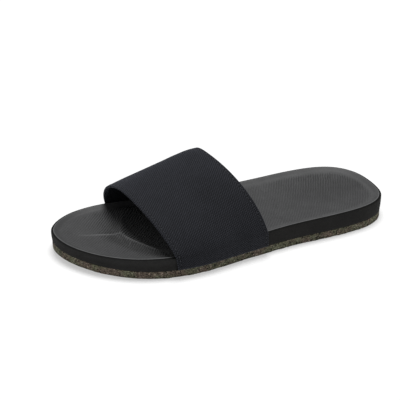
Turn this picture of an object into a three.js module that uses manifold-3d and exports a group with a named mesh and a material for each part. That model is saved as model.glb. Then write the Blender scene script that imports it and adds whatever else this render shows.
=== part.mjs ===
// Sport slide sandal for the left foot, about EU 42: one broad woven strap over a moulded footbed.
// Millimetres. +Y runs from heel to toe, +X points to the medial side, +Z is up, the floor is z = 0.
import * as THREE from 'three';
import { mergeVertices } from 'three/addons/utils/BufferGeometryUtils.js';
import Module from 'manifold-3d';

// Sole
const LENGTH = 284.6;
const BALL_WIDTH = 108;
const OUTSOLE_THICKNESS = 6.4;
const MIDSOLE_HEIGHT = 13.6;
const TOE_SPRING = 3.9;
const SPRING_START = 0.68;
const GLUE_LINE = 0.3;

// Edges: how far each line lies inside the rim's outline. The midsole's lip is as wide as SEAT_INSET,
// and the footbed's rim slopes down from there to RIM_WIDTH.
const OUTSOLE_TREAD_INSET = 0.9;
const MIDSOLE_FOOT_INSET = 0.7;
const RIM_ROUND = 1.2;
const SEAT_INSET = 1.5;
const RIM_WIDTH = 7;
const RIM_DROP = 2;

// Tread: straight ribs across the whole outsole
const TREAD_PITCH = 7.2;
const TREAD_GROOVE = 2.2;
const TREAD_DEPTH = 0.8;
const TREAD_DRAFT = 0.4;
const TIP_ROWS = [0, 0.015, 0.06, 0.15, 0.3, 0.5, 0.72];

// Footbed
const FOOTBED_THICKNESS = 2.5;
const HEEL_CUP = 3.2;
const HOLLOW_POWER = 2.5;
const SPINE_SHARE = 0.72;
const TOE_RIDGE_HEIGHT = 2.1;
const TOE_RIDGE_FRONT = 12;
const TOE_RIDGE_BACK = 9;
const TOE_RIDGE_POWER = 1.5;
const TOE_DIVIDER_HEIGHT = 1.1;
const TOE_DIVIDER_WIDTH = 5;
const TOE_DIVIDER_END = 0.93;
const TOE_DIVIDER_LEAN = 0.36;
const RELIEF_FADE = 0.25;

// Strap
const STRAP_THICKNESS = 2.2;
const STRAP_RISE = 48.6;
const TUCK_DEPTH = 12;
const HEM_START = 0.84;
const HEM_DROP = 1.6;

// Facets: steps round the sole and the strap, and shares of the way in along the sole's layers, round
// the strap's bottom corner and down its leg
const RING_STEPS = 72;
const STRAP_ROWS = 12;
const ARCH_STEPS = 28;
const FOOT_REACHES = [0, 0.5];
const SEAT_REACHES = [0, 0.25, 0.5, 0.75];
const TOP_REACHES = [0.9, 0.78, 0.65, 0.52, 0.39, 0.26, 0.13, 0];
const CORNER_SHARES = [0, 1 / 3, 2 / 3, 1];
const LEG_LOW_SHARES = [0, 0.05, 0.15, 0.3];
const LEG_HIGH_SHARES = [0.55, 0.9];
const SLOPE_STEP = 0.01;
const TIP_SHARE = 0.01;
const WELD = 0.001;

// Outline of the rim, seen from above, from the heel's tip to the toe's tip. along is a share of the
// length. centre and fullness are shares of the ball width: the outline is an ellipse's, made fuller
// or slimmer and moved sideways at each station. The rims are shares of the midsole's height.
const OUTLINE = [
  { along: 0.0, centre: -0.026, fullness: 2.13, medialRim: 0.93, lateralRim: 0.93 },
  { along: 0.0245, centre: -0.01, fullness: 1.68, medialRim: 0.965, lateralRim: 0.97 },
  { along: 0.0955, centre: -0.006, fullness: 1.32, medialRim: 1.03, lateralRim: 1.0 },
  { along: 0.206, centre: -0.023, fullness: 1.037, medialRim: 1.09, lateralRim: 0.995 },
  { along: 0.3455, centre: -0.056, fullness: 0.864, medialRim: 1.13, lateralRim: 0.97 },
  { along: 0.5, centre: -0.1, fullness: 0.867, medialRim: 1.12, lateralRim: 0.93 },
  { along: 0.6545, centre: -0.121, fullness: 1.014, medialRim: 1.038, lateralRim: 0.887 },
  { along: 0.794, centre: -0.071, fullness: 1.221, medialRim: 0.893, lateralRim: 0.813 },
  { along: 0.9045, centre: -0.005, fullness: 1.343, medialRim: 0.706, lateralRim: 0.692 },
  { along: 0.9755, centre: 0.043, fullness: 1.361, medialRim: 0.594, lateralRim: 0.608 },
  { along: 1.0, centre: 0.066, fullness: 1.368, medialRim: 0.62, lateralRim: 0.62 },
];

// Rim of the footbed from its edge in to the hollow: inset is a share of RIM_WIDTH, and drop a share
// of RIM_DROP.
const RIM_SLOPE = [
  { inset: 0.31, drop: 0.08 },
  { inset: 0.65, drop: 0.6 },
  { inset: 1.0, drop: 1.0 },
];

// Hollow of the footbed below its own edge, as shares of the heel cup's depth.
const HOLLOW = [
  { along: 0.0, depth: 0.75 },
  { along: 0.15, depth: 1.0 },
  { along: 0.35, depth: 0.8 },
  { along: 0.52, depth: 0.45 },
  { along: 0.68, depth: 0.7 },
  { along: 0.85, depth: 0.35 },
  { along: 1.0, depth: 0.25 },
];

// Crest of the toe ridge: a shallow chevron that sweeps back on both sides. across is -1 at the
// lateral rim and +1 at the medial rim.
const TOE_RIDGE = [
  { across: -1.0, along: 0.718 },
  { across: -0.5, along: 0.773 },
  { across: -0.03, along: 0.812 },
  { across: 0.5, along: 0.777 },
  { across: 1.0, along: 0.738 },
];

// Strap from its front edge to its rear edge. lateral and medial are where it leaves the sole, as
// shares of the length. rise and crown are the height of its top above the rims, as a share of
// STRAP_RISE, and the place of that top from the lateral side to the medial side.
const STRAP = [
  { place: 0.0, lateral: 0.727, medial: 0.797, rise: 0.645, crown: 0.6 },
  { place: 0.5, lateral: 0.581, medial: 0.6515, rise: 0.835, crown: 0.72 },
  { place: 1.0, lateral: 0.435, medial: 0.506, rise: 1.025, crown: 0.72 },
];

// Shape of the same three sections. The shoulders are the powers of the two quarter arches, 2 for an
// ellipse. archLean and sideLean are how far the arch and the sides lean forward per millimetre up.
const STRAP_SHAPE = [
  { place: 0.0, lateralShoulder: 1.64, medialShoulder: 1.78, archLean: 0.26, sideLean: 0.18 },
  { place: 0.5, lateralShoulder: 1.76, medialShoulder: 2.15, archLean: 0.275, sideLean: 0.13 },
  { place: 1.0, lateralShoulder: 2.19, medialShoulder: 2.5, archLean: 0.29, sideLean: 0.06 },
];

const wasm = await Module();
wasm.setup();

// Smooth curve through one column of a table, level at both ends.
function curve(rows, key, column, value) {
  const last = rows.length - 1;
  const at = Math.min(Math.max(value, rows[0][key]), rows[last][key]);
  let k = 0;
  while (k < last - 1 && at > rows[k + 1][key]) k += 1;
  const slope = (i) => {
    if (i === 0 || i === last) return 0;
    return (rows[i + 1][column] - rows[i - 1][column]) / (rows[i + 1][key] - rows[i - 1][key]);
  };
  const span = rows[k + 1][key] - rows[k][key];
  const t = (at - rows[k][key]) / span;
  const start = rows[k][column] * (1 + 2 * t) * (1 - t) ** 2 + slope(k) * span * t * (1 - t) ** 2;
  const end = rows[k + 1][column] * (3 - 2 * t) * t ** 2 - slope(k + 1) * span * (1 - t) * t ** 2;
  return start + end;
}

// Parabola through the three rows of a strap table.
function strapValue(column, place) {
  const rows = column in STRAP[0] ? STRAP : STRAP_SHAPE;
  const [front, middle, rear] = rows.map((row) => row[column]);
  const bend = 2 * (front + rear) - 4 * middle;
  return front + (rear - front - bend) * place + bend * place ** 2;
}

// The outline turns once round the sole: 0 at the heel's tip, half a turn at the toe's tip, and the
// medial side between them. Stations follow the cosine of the turn.
for (const row of OUTLINE) row.turn = Math.acos(1 - 2 * row.along);
const stationOf = (turn) => (1 - Math.cos(turn)) / 2;
const turnOf = (along) => Math.acos(1 - 2 * Math.min(Math.max(along, 0), 1));
const halfTurn = (turn) => Math.acos(Math.cos(turn));
const yOf = (along) => (along - 0.5) * LENGTH;
const centreOf = (along) => BALL_WIDTH * curve(OUTLINE, 'turn', 'centre', turnOf(along));

function outlinePoint(turn) {
  const along = stationOf(turn);
  const fullness = curve(OUTLINE, 'turn', 'fullness', halfTurn(turn));
  const x = centreOf(along) + BALL_WIDTH * fullness * Math.sin(turn) / 2;
  return new THREE.Vector2(x, yOf(along));
}

function outwardAt(turn) {
  const way = outlinePoint(turn + SLOPE_STEP).sub(outlinePoint(turn - SLOPE_STEP));
  return new THREE.Vector2(way.y, -way.x).normalize();
}

function insetPoint(turn, inset) {
  return outlinePoint(turn).addScaledVector(outwardAt(turn), -inset);
}

// Height of the ground line: flat from the heel to the ball, then curving up to the toe's tip.
function groundAt(y) {
  const along = y / LENGTH + 0.5;
  const share = Math.max(along - SPRING_START, 0) / (1 - SPRING_START);
  return TOE_SPRING * share ** 2;
}

const outsoleTop = (y) => groundAt(y) + OUTSOLE_THICKNESS;
const midsoleFoot = (y) => outsoleTop(y) + GLUE_LINE;

// Height of the rim's plane over a point, tilted from the lateral rim to the medial rim.
function rimAt(x, y) {
  const along = Math.min(Math.max(y / LENGTH + 0.5, 0), 1);
  const turn = turnOf(along);
  const medial = curve(OUTLINE, 'turn', 'medialRim', turn);
  const lateral = curve(OUTLINE, 'turn', 'lateralRim', turn);
  const share = (acrossAt(x, y) + 1) / 2;
  return outsoleTop(y) + MIDSOLE_HEIGHT * (lateral + (medial - lateral) * share);
}

// Place of a point between the lateral rim, -1, and the medial rim, +1.
function acrossAt(x, y) {
  const turn = turnOf(y / LENGTH + 0.5);
  const half = BALL_WIDTH * curve(OUTLINE, 'turn', 'fullness', turn) * Math.sin(turn) / 2;
  const safe = Math.max(half, TIP_SHARE * BALL_WIDTH);
  return THREE.MathUtils.clamp((x - centreOf(stationOf(turn))) / safe, -1, 1);
}

// Raised relief of the toes' end: the ridge under the toes and the low divider beside the big toe.
function toeRelief(x, y) {
  const across = acrossAt(x, y);
  const crest = yOf(curve(TOE_RIDGE, 'across', 'along', across));
  const ahead = y - crest;
  const reach = ahead > 0 ? TOE_RIDGE_FRONT : TOE_RIDGE_BACK;
  const ridge = TOE_RIDGE_HEIGHT * Math.max(1 - Math.abs(ahead) / reach, 0) ** TOE_RIDGE_POWER;
  const apex = TOE_RIDGE[2];
  const from = yOf(apex.along);
  const side = (x - centreOf(apex.along) - TOE_DIVIDER_LEAN * (y - from)) / TOE_DIVIDER_WIDTH;
  const way = (y - from) / (yOf(TOE_DIVIDER_END) - from);
  const fades = way > 0 && way < 1 ? 1 - way : 0;
  return Math.max(ridge, TOE_DIVIDER_HEIGHT * Math.exp(-side * side) * fades);
}

// Smooth hollow of the footbed: level with the rim's inner edge all round, deeper towards the middle.
function hollowAt(x, y, reach) {
  const depth = HEEL_CUP * curve(HOLLOW, 'along', 'depth', y / LENGTH + 0.5);
  return rimAt(x, y) - RIM_DROP - depth * (1 - reach ** HOLLOW_POWER);
}

// Top of the footbed: the hollow with the toes' relief, which fades out at the edge.
function footbedTop(x, y, reach) {
  return hollowAt(x, y, reach) + toeRelief(x, y) * Math.min((1 - reach) / RELIEF_FADE, 1);
}

// Ring of points round the sole, between the line down its middle, reach 0, and the outline's inset,
// reach 1. At reach 0 the ring folds flat onto that line, so that its two sides meet.
function ringTowards(inset, reach, height) {
  const points = [];
  for (let j = 0; j < RING_STEPS; j += 1) {
    const turn = 2 * Math.PI * j / RING_STEPS;
    const p = insetPoint(turn, inset);
    const along = 0.5 + (stationOf(turn) - 0.5) * SPINE_SHARE;
    const middle = new THREE.Vector2(centreOf(along), yOf(along));
    const q = middle.lerp(p, reach);
    points.push([q.x, q.y, height(q.x, q.y, reach)]);
  }
  return points;
}

const ringAt = (inset, height) => ringTowards(inset, 1, height);

// Height below the plane of the rim.
const below = (drop) => (x, y) => rimAt(x, y) - drop;

// Rings down the footbed's rim, from its edge to the hollow, sunk by a given depth.
function slopeRings(depth) {
  return RIM_SLOPE.map((row) => ringAt(row.inset * RIM_WIDTH, below(row.drop * RIM_DROP + depth)));
}

// Closed solid through rings that run from the middle of its underside, out and up, to the middle
// of its top. Each strip's facets are split the same way seen from above, whether it runs out or in,
// so that a layer and its seat have the same facets.
function solidOfRings(rings) {
  const positions = rings.flat(2);
  const index = [];
  const count = RING_STEPS;
  for (let i = 0; i + 1 < rings.length; i += 1) {
    const outwards = rings[i + 1][0][1] < rings[i][0][1];
    for (let j = 0; j < count; j += 1) {
      const a = i * count + j;
      const b = i * count + (j + 1) % count;
      if (outwards) index.push(a, b, a + count, b, b + count, a + count);
      else index.push(a, b, b + count, a, b + count, a + count);
    }
  }
  return closedSurface(positions, index);
}

// Merges shared points, drops triangles without area and gives the surface its normals.
function closedSurface(positions, index) {
  const loose = new THREE.BufferGeometry();
  loose.setAttribute('position', new THREE.Float32BufferAttribute(positions, 3));
  loose.setIndex(index);
  const merged = mergeVertices(loose, WELD);
  const kept = [];
  const corners = merged.index.array;
  for (let i = 0; i < corners.length; i += 3) {
    const [a, b, c] = [corners[i], corners[i + 1], corners[i + 2]];
    if (a !== b && b !== c && c !== a) kept.push(a, b, c);
  }
  merged.setIndex(kept);
  merged.computeVertexNormals();
  return merged;
}

// Joining and cutting
function toManifold(geometry) {
  const bare = geometry.clone();
  bare.deleteAttribute('normal');
  const merged = mergeVertices(bare, WELD / 10);
  const vertProperties = new Float32Array(merged.attributes.position.array);
  const triVerts = new Uint32Array(merged.index.array);
  return new wasm.Manifold(new wasm.Mesh({ numProp: 3, vertProperties, triVerts }));
}

function fromManifold(solid) {
  const mesh = solid.getMesh();
  const geometry = new THREE.BufferGeometry();
  geometry.setAttribute('position', new THREE.BufferAttribute(new Float32Array(mesh.vertProperties), 3));
  geometry.setIndex(new THREE.BufferAttribute(new Uint32Array(mesh.triVerts), 1));
  geometry.computeVertexNormals();
  return geometry;
}

// Outsole: a slab of crumb rubber with straight ribs across it, drawn in a little towards the floor.
function outsoleGeometry() {
  const rows = [];
  const addRow = (y, groove) => rows.push({ y, groove });
  const half = LENGTH / 2;
  const ribs = Math.floor((LENGTH - TREAD_PITCH) / TREAD_PITCH);
  const first = -(ribs - 1) * TREAD_PITCH / 2;
  for (let k = 0; k < ribs; k += 1) {
    const middle = first + k * TREAD_PITCH;
    const wide = TREAD_GROOVE / 2;
    const narrow = wide - TREAD_DRAFT;
    addRow(middle - wide, 0);
    addRow(middle - narrow, TREAD_DEPTH);
    addRow(middle + narrow, TREAD_DEPTH);
    addRow(middle + wide, 0);
  }
  const plainEnd = half + first - TREAD_GROOVE / 2;
  for (const share of TIP_ROWS) {
    addRow(-half + plainEnd * share, 0);
    addRow(half - plainEnd * share, 0);
  }
  rows.sort((a, b) => a.y - b.y);
  const positions = [];
  for (const { y, groove } of rows) {
    const turn = turnOf(y / LENGTH + 0.5);
    for (const side of [turn, 2 * Math.PI - turn]) {
      const tread = insetPoint(side, OUTSOLE_TREAD_INSET);
      const top = insetPoint(side, MIDSOLE_FOOT_INSET);
      positions.push(tread.x, tread.y, groundAt(y) + groove, top.x, top.y, outsoleTop(y));
    }
  }
  const index = [];
  const corners = [2, 0, 1, 3];
  for (let i = 0; i + 1 < rows.length; i += 1) {
    for (let k = 0; k < 4; k += 1) {
      const a = 4 * i + corners[k];
      const b = 4 * i + corners[(k + 1) % 4];
      index.push(a, a + 4, b + 4, a, b + 4, b);
    }
  }
  return closedSurface(positions, index);
}

// Midsole: a foam block with a tapered side and a rounded lip round the seat for the footbed.
function midsoleGeometry() {
  const foot = (x, y) => midsoleFoot(y);
  const depth = FOOTBED_THICKNESS + GLUE_LINE;
  const seat = (x, y, reach) => hollowAt(x, y, reach) - depth;
  const corner = RIM_ROUND * (1 - Math.SQRT1_2);
  const rings = [
    ...FOOT_REACHES.map((reach) => ringTowards(MIDSOLE_FOOT_INSET, reach, foot)),
    ringAt(MIDSOLE_FOOT_INSET, foot),
    ringAt(0, below(RIM_ROUND)),
    ringAt(corner, below(corner)),
    ringAt(RIM_ROUND, below(0)),
    ringAt(SEAT_INSET, below(0)),
    ringAt(SEAT_INSET, below(depth)),
    ...slopeRings(depth),
    ...SEAT_REACHES.map((reach) => ringTowards(RIM_WIDTH, reach, seat)).reverse(),
  ];
  let solid = toManifold(solidOfRings(rings));
  for (const side of ['lateral', 'medial']) solid = solid.subtract(toManifold(tuckSlot(side)));
  return fromManifold(solid);
}

// Footbed: a thin moulded layer that lies in the midsole's seat and ends in a rim inside its lip.
function footbedGeometry() {
  const edge = SEAT_INSET + GLUE_LINE;
  const under = (x, y, reach) => hollowAt(x, y, reach) - FOOTBED_THICKNESS;
  return solidOfRings([
    ...SEAT_REACHES.map((reach) => ringTowards(RIM_WIDTH, reach, under)),
    ...slopeRings(FOOTBED_THICKNESS).reverse(),
    ringAt(edge, below(FOOTBED_THICKNESS)),
    ringAt(edge, below(0)),
    ...slopeRings(0),
    ...TOP_REACHES.map((reach) => ringTowards(RIM_WIDTH, reach, footbedTop)),
  ]);
}

// Point of a strap section beside the midsole's side wall, a given way out from it and a given
// height above the rim, which is negative. The side leans, so lower points stand further back.
function besideWall(side, place, out, height) {
  const along = strapValue(side, place) + strapValue('sideLean', place) * height / LENGTH;
  const turn = side === 'medial' ? turnOf(along) : 2 * Math.PI - turnOf(along);
  const foot = outlinePoint(turn);
  const high = rimAt(foot.x, foot.y);
  const taper = MIDSOLE_FOOT_INSET * -height / (high - midsoleFoot(foot.y));
  const p = insetPoint(turn, taper - out);
  return new THREE.Vector3(p.x, p.y, high + height);
}

// Height above the rim, so a negative one, of the midsole's foot under a side of the strap.
function legHeight(side, place) {
  const foot = besideWall(side, place, 0, 0);
  return midsoleFoot(foot.y) - foot.z;
}

// Half of a strap section below the rim: from the tucked end under the midsole, round its bottom
// edge and up its side. Returns the outer and inner faces' points.
function strapLeg(side, place) {
  const outer = [];
  const inner = [];
  const wall = GLUE_LINE;
  const face = GLUE_LINE + STRAP_THICKNESS;
  const low = legHeight(side, place);
  const lift = low + STRAP_THICKNESS;
  for (const way of [TUCK_DEPTH, TUCK_DEPTH / 2]) {
    outer.push(besideWall(side, place, -way, low));
    inner.push(besideWall(side, place, -way, lift));
  }
  for (const share of CORNER_SHARES) {
    const angle = share * Math.PI / 2;
    const out = wall + STRAP_THICKNESS * Math.sin(angle);
    outer.push(besideWall(side, place, out, lift - STRAP_THICKNESS * Math.cos(angle)));
  }
  for (const share of LEG_LOW_SHARES) inner.push(besideWall(side, place, wall, lift * (1 - share)));
  for (const share of LEG_HIGH_SHARES) {
    outer.push(besideWall(side, place, face, lift * (1 - share)));
    inner.push(besideWall(side, place, wall, lift * (1 - share)));
  }
  return { outer, inner };
}

// Outer face of the arch between the two rims, from the lateral side to the medial side. Its rear hem
// bends down a little.
function archPoint(place, swing) {
  const reachOut = GLUE_LINE + STRAP_THICKNESS;
  const feet = ['lateral', 'medial'].map((side) => besideWall(side, place, reachOut, 0));
  const lateralHalf = swing < Math.PI / 2;
  const power = 2 / strapValue(lateralHalf ? 'lateralShoulder' : 'medialShoulder', place);
  const sideways = Math.abs(Math.cos(swing)) ** power * (lateralHalf ? -1 : 1);
  const crown = strapValue('crown', place);
  const share = sideways < 0 ? crown * (1 + sideways) : crown + (1 - crown) * sideways;
  const hem = Math.max((place - HEM_START) / (1 - HEM_START), 0);
  const height = STRAP_RISE * strapValue('rise', place) - HEM_DROP * hem ** 2;
  const lift = height * Math.max(Math.sin(swing), 0) ** power;
  const p = feet[0].clone().lerp(feet[1], share);
  p.y += strapValue('archLean', place) * lift;
  p.z += lift;
  return p;
}

// Outward direction of the arch, square to its surface.
function archOut(place, swing) {
  const [near, far] = [Math.max(place - SLOPE_STEP, 0), Math.min(place + SLOPE_STEP, 1)];
  const back = archPoint(far, swing).sub(archPoint(near, swing));
  const over = archPoint(place, swing + SLOPE_STEP).sub(archPoint(place, swing - SLOPE_STEP));
  return back.cross(over).normalize();
}

// One section of the strap as a closed loop: the outer face over the foot, and back along the inner.
function strapSection(place) {
  const lateral = strapLeg('lateral', place);
  const medial = strapLeg('medial', place);
  const outer = [];
  const inner = [];
  for (let k = 1; k < ARCH_STEPS; k += 1) {
    const swing = Math.PI * k / ARCH_STEPS;
    const p = archPoint(place, swing);
    outer.push(p);
    inner.push(p.clone().addScaledVector(archOut(place, swing), -STRAP_THICKNESS));
  }
  const over = [...lateral.outer, ...outer, ...medial.outer.reverse()];
  const under = [...lateral.inner, ...inner, ...medial.inner.reverse()];
  return [...over, ...under.reverse()];
}

// Closed solid through loops of points, each end closed between its outer and inner faces.
function solidOfLoops(loops) {
  const size = loops[0].length;
  const half = size / 2;
  const positions = loops.flat().flatMap((p) => [p.x, p.y, p.z]);
  const index = [];
  for (let i = 0; i + 1 < loops.length; i += 1) {
    for (let j = 0; j < size; j += 1) {
      const a = i * size + j;
      const b = i * size + (j + 1) % size;
      index.push(a, b + size, b, a, a + size, b + size);
    }
  }
  const last = (loops.length - 1) * size;
  for (let j = 0; j + 1 < half; j += 1) {
    const [a, b, c, d] = [j, j + 1, size - 2 - j, size - 1 - j];
    index.push(a, c, d, a, b, c);
    index.push(last + a, last + d, last + c, last + a, last + c, last + b);
  }
  return closedSurface(positions, index);
}

function strapGeometry() {
  const loops = [];
  for (let i = 0; i <= STRAP_ROWS; i += 1) loops.push(strapSection(i / STRAP_ROWS));
  return solidOfLoops(loops);
}

// Room under one side of the midsole for the strap's tucked end, as deep and as long as the tuck
// with the glue line all round.
function tuckSlot(side) {
  const past = GLUE_LINE / (LENGTH * (strapValue(side, 0) - strapValue(side, 1)));
  const inside = -TUCK_DEPTH - GLUE_LINE;
  const loops = [];
  for (let i = 0; i <= STRAP_ROWS; i += 1) {
    const place = -past + (1 + 2 * past) * i / STRAP_ROWS;
    const low = legHeight(side, place);
    const high = low + STRAP_THICKNESS + GLUE_LINE;
    const section = [
      besideWall(side, place, inside, low - GLUE_LINE),
      besideWall(side, place, STRAP_THICKNESS, low - GLUE_LINE),
      besideWall(side, place, STRAP_THICKNESS, high),
      besideWall(side, place, inside, high),
    ];
    loops.push(side === 'medial' ? section.reverse() : section);
  }
  return solidOfLoops(loops);
}

function piece(name, geometry, color, roughness) {
  const material = new THREE.MeshStandardMaterial({ color, roughness, metalness: 0 });
  const mesh = new THREE.Mesh(geometry, material);
  mesh.name = name;
  return mesh;
}

const sandal = new THREE.Group();
sandal.add(piece('outsole', outsoleGeometry(), 0x5c584c, 0.95));
sandal.add(piece('midsole', midsoleGeometry(), 0x1f2021, 0.7));
sandal.add(piece('footbed', footbedGeometry(), 0x38393b, 0.75));
sandal.add(piece('strap', strapGeometry(), 0x23252e, 0.9));

// The origin is the middle of the sandal's box, on the floor.
const box = new THREE.Box3().setFromObject(sandal);
const middle = box.getCenter(new THREE.Vector3());
sandal.position.set(-middle.x, -middle.y, -box.min.z);

export default sandal;
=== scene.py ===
"""Looks of the left sport slide sandal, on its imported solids. Metres, +Y to the toe, +X medial, +Z up."""
from collections import namedtuple

import bmesh
import bpy
import numpy as np
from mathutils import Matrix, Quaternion, Vector


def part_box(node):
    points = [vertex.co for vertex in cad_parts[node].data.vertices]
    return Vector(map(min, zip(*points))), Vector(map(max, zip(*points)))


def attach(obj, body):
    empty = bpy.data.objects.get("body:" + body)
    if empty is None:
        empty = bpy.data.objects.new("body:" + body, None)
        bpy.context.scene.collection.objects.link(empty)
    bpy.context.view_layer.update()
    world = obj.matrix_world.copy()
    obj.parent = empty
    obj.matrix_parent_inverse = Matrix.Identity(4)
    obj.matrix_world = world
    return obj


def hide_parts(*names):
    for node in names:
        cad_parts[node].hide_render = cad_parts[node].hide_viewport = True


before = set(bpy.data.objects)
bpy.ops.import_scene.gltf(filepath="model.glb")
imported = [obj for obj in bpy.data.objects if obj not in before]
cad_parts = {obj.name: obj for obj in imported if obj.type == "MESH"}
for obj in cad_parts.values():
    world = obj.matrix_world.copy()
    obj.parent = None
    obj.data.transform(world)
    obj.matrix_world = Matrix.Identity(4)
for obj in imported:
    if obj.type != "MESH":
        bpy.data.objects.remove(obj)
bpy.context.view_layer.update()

# Outsole
# A slab of pressed crumb rubber: olive, brown, grey and black granules, cut to the sandal's outline
# and glued under the midsole. Straight ribs cross its underside, and its cut edge is ragged.
MM = 0.001
OUTSOLE_THICKNESS = 6.4 * MM
TOE_SPRING = 3.9 * MM
SPRING_START = 0.68
BALL_WIDTH = 108 * MM
TREAD_INSET = 0.9 * MM
FOOT_INSET = 0.7 * MM
TREAD_PITCH = 7.2 * MM
TREAD_GROOVE = 2.2 * MM
TREAD_DRAFT = 0.4 * MM
TREAD_DEPTH = 0.8 * MM
TREAD_BORDER = 4 * MM
WELD = 0.001 * MM
GRANULE = 1.0 * MM
CHUNK = 2.2 * GRANULE
CRUMB = 0.8 * GRANULE
SPECKS_PER_GRANULE = 2.6
WHOLE_SHARE = 0.55
GRAIN_DEPTH = 0.35 * MM
PATCH = 9 * MM
EDGE_BITE = 0.22 * MM
CHIP_DEPTH = 0.3 * MM
# Painted shade: the chip and lump tones darken the cut edge low down, in chips and broken lumps, as if in
# shadow near the floor.
CHIP_SHADE_TONE = 0.35
LUMP = 7 * MM
LUMP_DEPTH = 1.1 * MM
LUMP_SHADE_TONE = 0.6
OUTSOLE_ROWS = 520
WALL_STEPS = 11
TREAD_STEPS = 26
TOP_STEPS = 8
CRUMB_COLOURS = [
    (0.00, (0.012, 0.011, 0.009)),
    (0.15, (0.060, 0.055, 0.042)),
    (0.32, (0.103, 0.096, 0.071)),
    (0.56, (0.048, 0.044, 0.035)),
    (0.66, (0.138, 0.126, 0.097)),
    (0.82, (0.170, 0.164, 0.137)),
    (0.95, (0.262, 0.248, 0.204)),
]
OLIVE_TINT = (0.94, 1.00, 0.84)
BROWN_TINT = (1.10, 0.93, 0.92)

# Outline of the rim from the heel's tip to the toe's tip. along is a share of the length, centre and
# fullness are shares of the ball width, and the rims are shares of the midsole's height.
Station = namedtuple("Station", "along centre fullness medial_rim lateral_rim")
OUTLINE = [
    Station(0.0, -0.026, 2.13, 0.93, 0.93),
    Station(0.0245, -0.01, 1.68, 0.965, 0.97),
    Station(0.0955, -0.006, 1.32, 1.03, 1.0),
    Station(0.206, -0.023, 1.037, 1.09, 0.995),
    Station(0.3455, -0.056, 0.864, 1.13, 0.97),
    Station(0.5, -0.1, 0.867, 1.12, 0.93),
    Station(0.6545, -0.121, 1.014, 1.038, 0.887),
    Station(0.794, -0.071, 1.221, 0.893, 0.813),
    Station(0.9045, -0.005, 1.343, 0.706, 0.692),
    Station(0.9755, 0.043, 1.361, 0.594, 0.608),
    Station(1.0, 0.066, 1.368, 0.62, 0.62),
]


def column(rows, name):
    """One named column of a table, as an array."""
    return np.array([getattr(row, name) for row in rows], float)


def smooth(knots, values, at):
    """Cubic through values at knots: level at both ends, elsewhere with the slope between neighbours."""
    slopes = np.zeros_like(values)
    slopes[1:-1] = (values[2:] - values[:-2]) / (knots[2:] - knots[:-2])
    at = np.clip(at, knots[0], knots[-1])
    k = np.clip(np.searchsorted(knots, at, side="right") - 1, 0, len(knots) - 2)
    span = knots[k + 1] - knots[k]
    t = (at - knots[k]) / span
    start = values[k] * (1 + 2 * t) * (1 - t) ** 2 + slopes[k] * span * t * (1 - t) ** 2
    return start + values[k + 1] * (3 - 2 * t) * t**2 - slopes[k + 1] * span * (1 - t) * t**2


def ease(low, high, value):
    """0 below low, 1 above high, and a smooth S between them."""
    t = np.clip((value - low) / (high - low), 0, 1)
    return t * t * (3 - 2 * t)


def turn_of(along):
    """The outline's turn at a share of the length: 0 at the heel, half a turn at the toe."""
    return np.arccos(1 - 2 * np.clip(along, 0, 1))


OUTLINE_TURNS = turn_of(column(OUTLINE, "along"))
MIDSOLE_LOW, MIDSOLE_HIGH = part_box("midsole")
LENGTH = MIDSOLE_HIGH.y - MIDSOLE_LOW.y


def outline_value(name, turn):
    """A column of the outline table at a turn, the same on the medial and the lateral side."""
    return smooth(OUTLINE_TURNS, column(OUTLINE, name), np.arccos(np.cos(turn)))


def bare_outline(turn):
    """Ellipse of the length, as wide as the fullness says and moved sideways by the centre."""
    half = BALL_WIDTH * outline_value("fullness", turn) * np.sin(turn) / 2
    return BALL_WIDTH * outline_value("centre", turn) + half, -np.cos(turn) * LENGTH / 2


FULL_TURN = np.linspace(0, 2 * np.pi, 720)
MIDDLE_LINE = (MIDSOLE_LOW.x + MIDSOLE_HIGH.x) / 2 - np.ptp(bare_outline(FULL_TURN)[0]) / 2
MIDDLE_LINE -= bare_outline(FULL_TURN)[0].min()


def outline(turn, inset=0.0):
    """Point of the rim's outline, moved in by inset square to it."""
    x, y = bare_outline(turn)
    after, before = bare_outline(turn + 0.01), bare_outline(turn - 0.01)
    way_x, way_y = after[0] - before[0], after[1] - before[1]
    run = np.hypot(way_x, way_y)
    return MIDDLE_LINE + x - inset * way_y / run, y + inset * way_x / run


def middle_of(along):
    """x of the line down the middle of the sole."""
    return MIDDLE_LINE + BALL_WIDTH * outline_value("centre", turn_of(along))


def ground(y):
    """Height of the tread's plane: the floor from heel to ball, then a parabola up to the toe."""
    share = np.maximum(y / LENGTH + 0.5 - SPRING_START, 0) / (1 - SPRING_START)
    return TOE_SPRING * share**2


def granules(points, size, seed):
    """Random field from 0 to 1: a hashed value at each corner of a lattice, eased between corners."""
    scaled = points / size + seed
    base = np.floor(scaled).astype(np.int64)
    part = scaled - base
    part = part * part * (3 - 2 * part)
    field = np.zeros(points.shape[:-1])
    for corner in np.ndindex(2, 2, 2):
        spot = base + np.array(corner)
        mixed = spot @ np.array([374761393, 668265263, 1442695041])
        mixed = (mixed ^ (mixed >> 13)) * 1274126177
        value = ((mixed ^ (mixed >> 16)) & 0xFFFF) / 0xFFFF
        field += value * np.prod(np.where(np.array(corner) == 1, part, 1 - part), axis=-1)
    return field


def welded(mesh, reach):
    """The mesh with points closer than reach merged, slivers dissolved and its faces turned outwards."""
    merged = bmesh.new()
    merged.from_mesh(mesh)
    bmesh.ops.remove_doubles(merged, verts=merged.verts, dist=reach)
    bmesh.ops.dissolve_degenerate(merged, edges=merged.edges, dist=reach / 10)
    bmesh.ops.recalc_face_normals(merged, faces=merged.faces)
    merged.to_mesh(mesh)
    merged.free()
    mesh.shade_smooth()
    return mesh


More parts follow.
